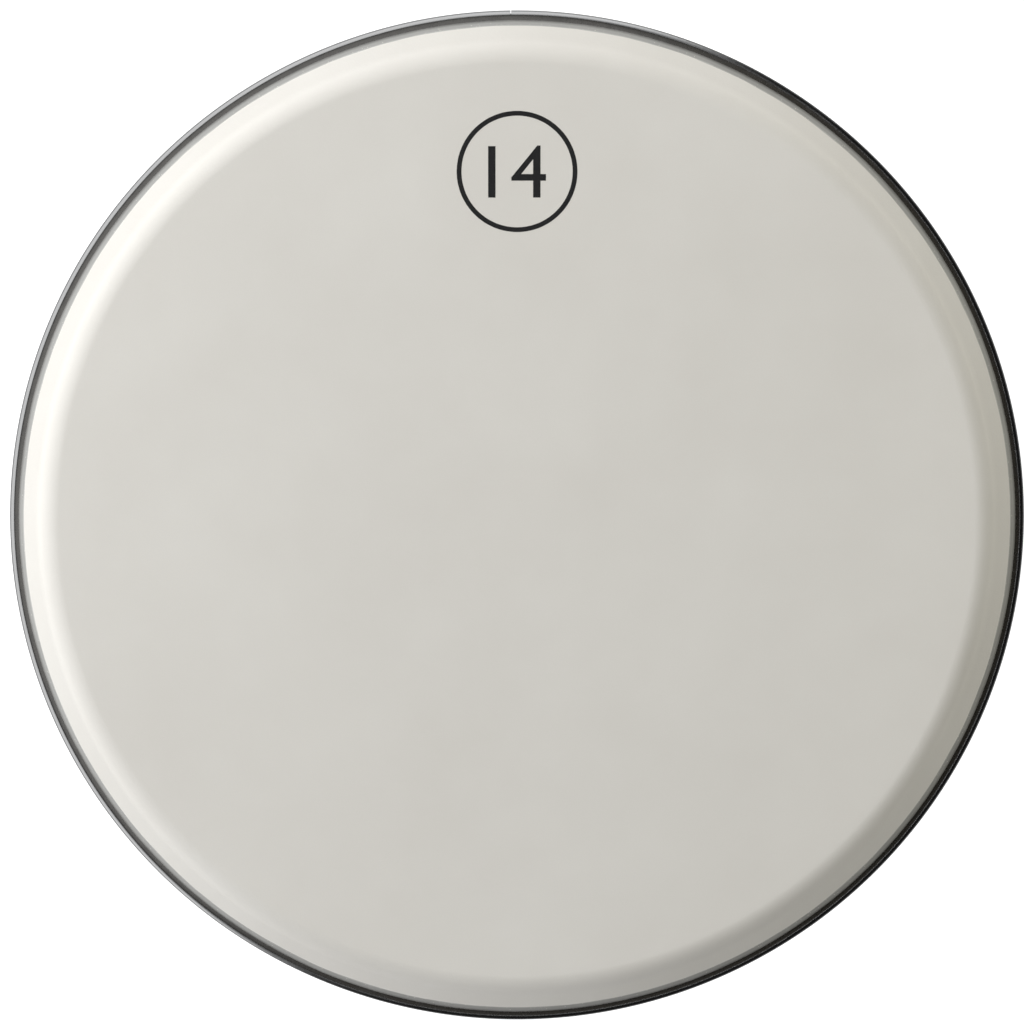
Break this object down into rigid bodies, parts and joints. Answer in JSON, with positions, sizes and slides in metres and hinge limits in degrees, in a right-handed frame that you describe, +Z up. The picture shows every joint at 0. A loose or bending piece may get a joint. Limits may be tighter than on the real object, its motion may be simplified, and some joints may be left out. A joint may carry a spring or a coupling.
{
  "type": "drum head",
  "caption": "Round drum head with a flat textured white playing face, a sloping collar and a rolled aluminium rim hoop, made to stretch over the edge of a drum shell.",
  "frame": {"origin": "centre of the hoop's underside", "axes": "+Z up through the playing face, +Y towards the hoop's joint, which is the top of the picture"},
  "size_m": [0.367, 0.367, 0.0194],
  "materials": {
    "hoop_metal": "rolled, satin",
    "film": "clear hazy polyester film",
    "coating": "fine sprayed texture, matt",
    "resin": "cast, glossy, dark amber"
  },
  "bodies": {
    "root": {"flesh_hoop": "hoop_metal", "top_ply": "film", "bottom_ply": "film", "batter_coating": "coating", "resin_bed": "resin"}
  },
  "joints": []
}
